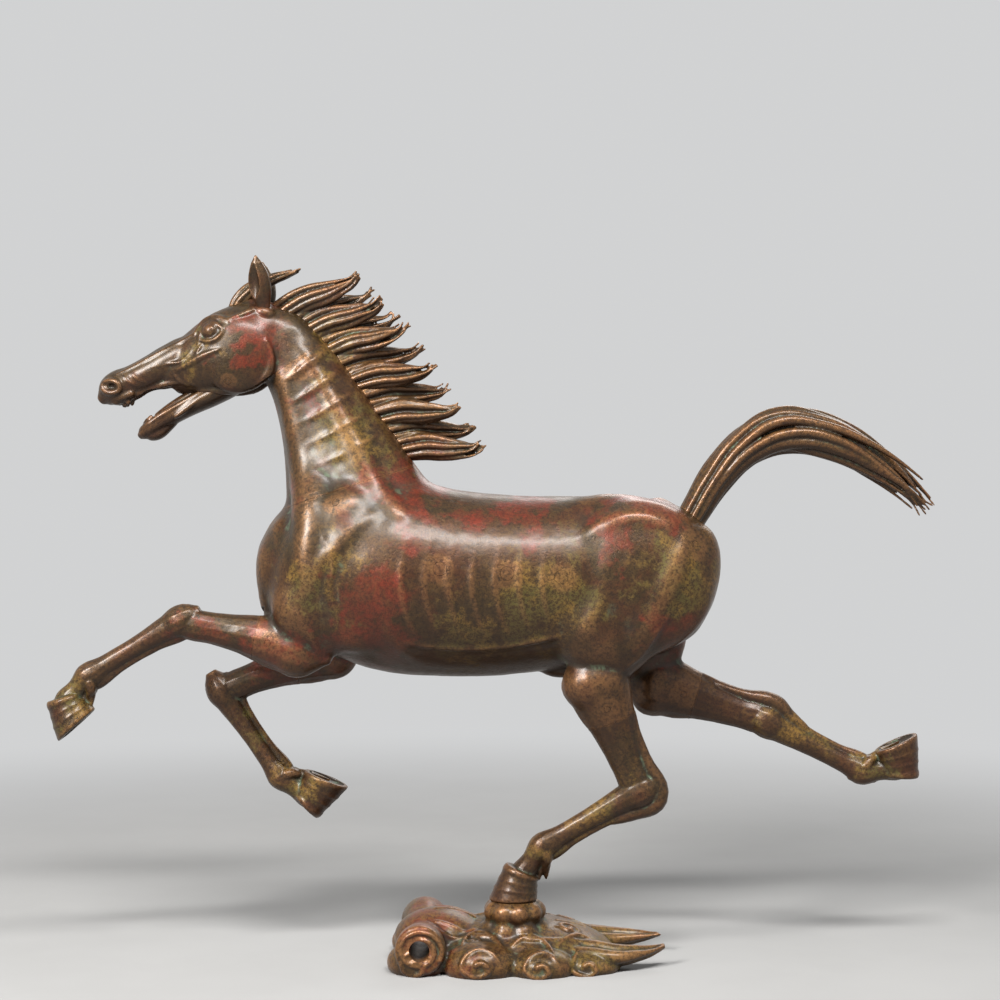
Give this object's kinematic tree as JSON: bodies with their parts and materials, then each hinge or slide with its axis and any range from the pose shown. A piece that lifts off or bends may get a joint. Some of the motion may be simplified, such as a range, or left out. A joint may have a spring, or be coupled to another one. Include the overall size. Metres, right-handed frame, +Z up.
{
  "type": "galloping horse statue",
  "caption": "Patinated bronze statue of a galloping horse with windswept mane and tail, standing on one hind hoof on a small cloud base.",
  "frame": {"origin": "on the ground, under the middle of the whole statue's box", "axes": "+X towards the tail, the horse heads towards -X, its left side faces -Y, +Z up"},
  "size_m": [0.4406, 0.0874, 0.3511],
  "materials": {
    "bronze_body": "waxed dark brown patina with red and green-gold areas",
    "bronze_limb": "brown patina with a dusty gold-olive bloom",
    "bronze_hair": "grooved brown patina, rubbed brighter on the ridges",
    "bronze_base": "brown patina with red and yellow-green areas",
    "steel_fittings": "plain turned steel"
  },
  "bodies": {
    "root": {"torso_shell": "bronze_body", "core_plug_left_1": "bronze_body", "core_plug_right_1": "bronze_body", "core_plug_left_2": "bronze_body", "core_plug_right_2": "bronze_body", "core_plug_left_3": "bronze_body", "core_plug_right_3": "bronze_body", "neck_shell": "bronze_body", "head": "bronze_body", "lower_jaw": "bronze_body", "ear_left": "bronze_body", "ear_right": "bronze_body", "forelock": "bronze_hair", "mane_lower": "bronze_hair", "mane_middle": "bronze_hair", "mane_upper": "bronze_hair", "tail": "bronze_hair", "foreleg_left": "bronze_limb", "foreleg_left_pin": "bronze_body", "foreleg_right": "bronze_limb", "foreleg_right_pin": "bronze_body", "hind_leg_left": "bronze_limb", "hind_leg_left_pin": "bronze_body", "hind_leg_right": "bronze_limb", "hind_leg_right_pin": "bronze_body", "neck_pin_1": "bronze_body", "neck_pin_2": "bronze_body", "neck_pin_3": "bronze_body", "head_pin": "bronze_body", "jaw_pin": "bronze_body", "tail_pin": "bronze_body", "support_rod": "steel_fittings", "base_nut": "steel_fittings", "base_washer": "steel_fittings", "cloud_base": "bronze_base"}
  },
  "joints": []
}
